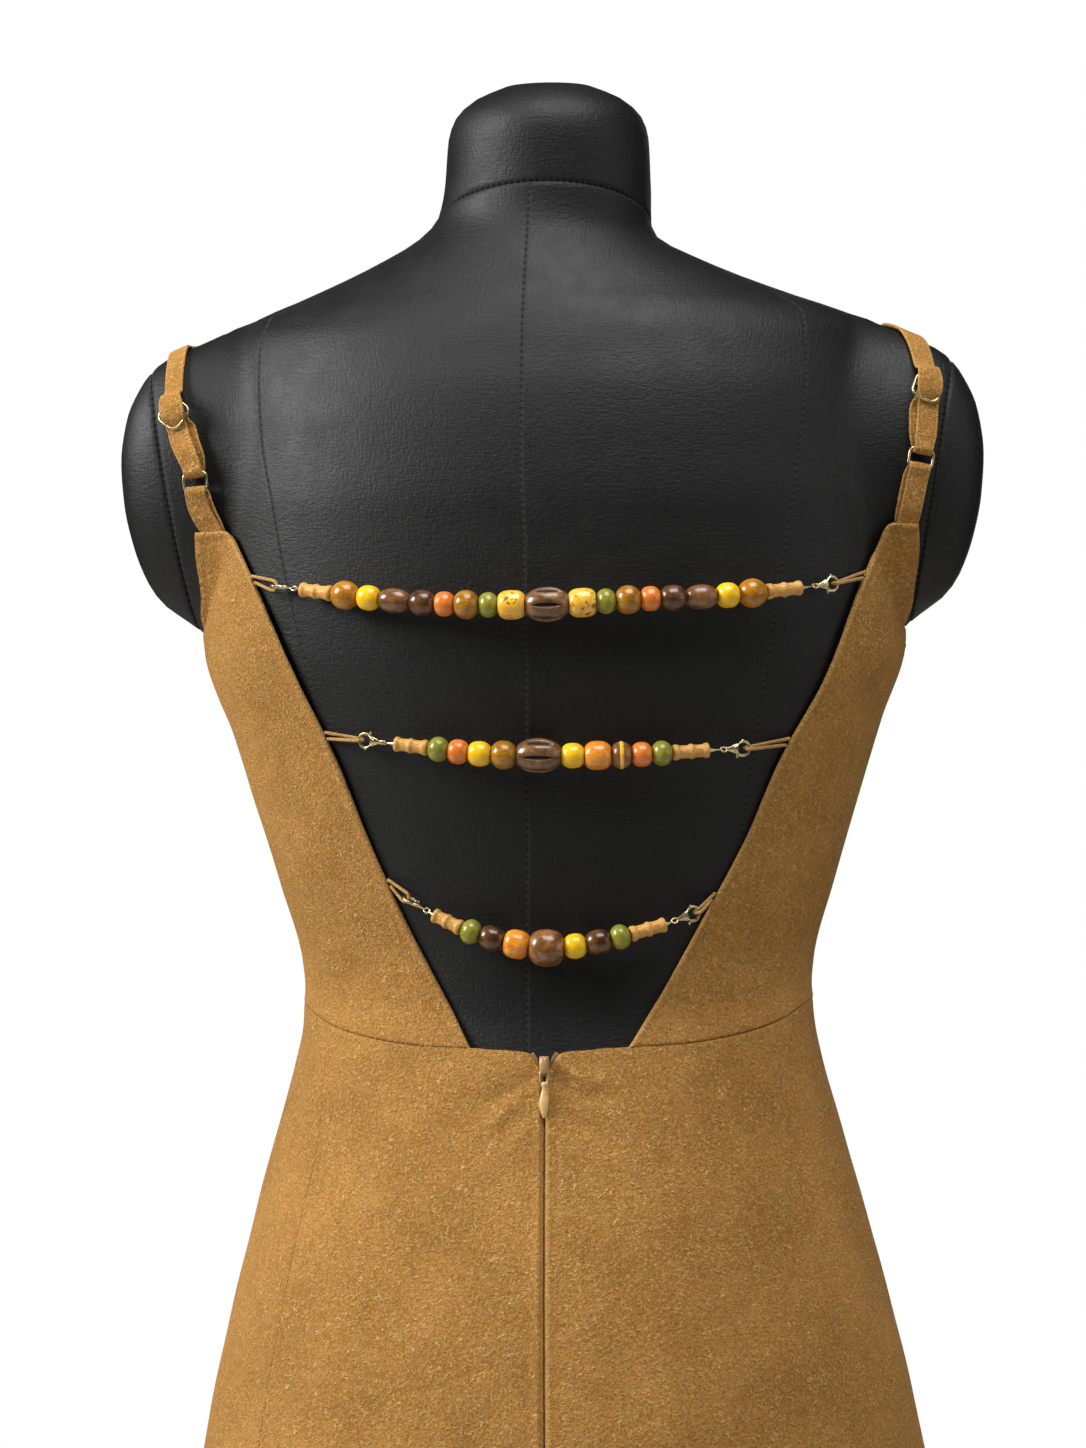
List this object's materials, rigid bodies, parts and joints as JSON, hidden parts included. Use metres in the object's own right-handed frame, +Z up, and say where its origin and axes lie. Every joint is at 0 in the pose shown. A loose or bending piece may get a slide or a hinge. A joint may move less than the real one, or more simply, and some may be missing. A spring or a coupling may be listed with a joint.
{
  "type": "backless dress on a limbless dress form",
  "caption": "Backless A-line suede dress with bead strings clasped across its open back, worn by a limbless dress form on a round stand.",
  "frame": {"origin": "centre of the stand base's underside, on the floor", "axes": "+Z up, +Y the way the wearer faces, so the open back faces -Y, and +X to the wearer's right"},
  "size_m": [0.4536, 0.36, 1.492],
  "materials": {
    "suede": "short brushed nap, matt",
    "form_cover": "fine close weave, matt",
    "stand_steel": "satin powder coat",
    "brass": "pale polished",
    "cord": "rolled suede cord, matt",
    "pale_wood": "turned, satin lacquer",
    "bead_wood": "stained and lacquered",
    "zip_tape": "woven tape",
    "pull_enamel": "glossy enamel"
  },
  "bodies": {
    "dress_on_form": {"bead_string_bottom": "bead_wood", "bead_string_middle": "bead_wood", "bead_string_top": "bead_wood", "bodice_back_left": "suede", "bodice_back_right": "suede", "bodice_front": "suede", "clasp_bottom_left": "brass", "clasp_bottom_right": "brass", "clasp_middle_left": "brass", "clasp_middle_right": "brass", "clasp_top_left": "brass", "clasp_top_right": "brass", "cord_loop_bottom_left": "cord", "cord_loop_bottom_right": "cord", "cord_loop_middle_left": "cord", "cord_loop_middle_right": "cord", "cord_loop_top_left": "cord", "cord_loop_top_right": "cord", "end_barrel_bottom_left": "pale_wood", "end_barrel_bottom_right": "pale_wood", "end_barrel_middle_left": "pale_wood", "end_barrel_middle_right": "pale_wood", "end_barrel_top_left": "pale_wood", "end_barrel_top_right": "pale_wood", "form_arm_cap_left": "form_cover", "form_arm_cap_right": "form_cover", "form_neck": "form_cover", "form_torso": "form_cover", "skirt_back_left": "suede", "skirt_back_right": "suede", "skirt_front": "suede", "stand_base": "stand_steel", "stand_pole": "stand_steel", "strap_left": "suede", "strap_right": "suede", "strap_ring_left": "brass", "strap_ring_right": "brass", "strap_slider_left": "brass", "strap_slider_right": "brass", "strap_tab_left": "suede", "strap_tab_right": "suede", "zip_slider": "brass", "zip_tape": "zip_tape"},
    "zip_pull": {"zip_pull": "pull_enamel"}
  },
  "joints": [
    {"name": "zip_pull_swing", "type": "hinge", "parent": "dress_on_form", "child": "zip_pull", "pos_m": [-0.00253, -0.09307, 1.0149], "axis": [-1, 0, 0], "range_deg": [0, 150]}
  ]
}
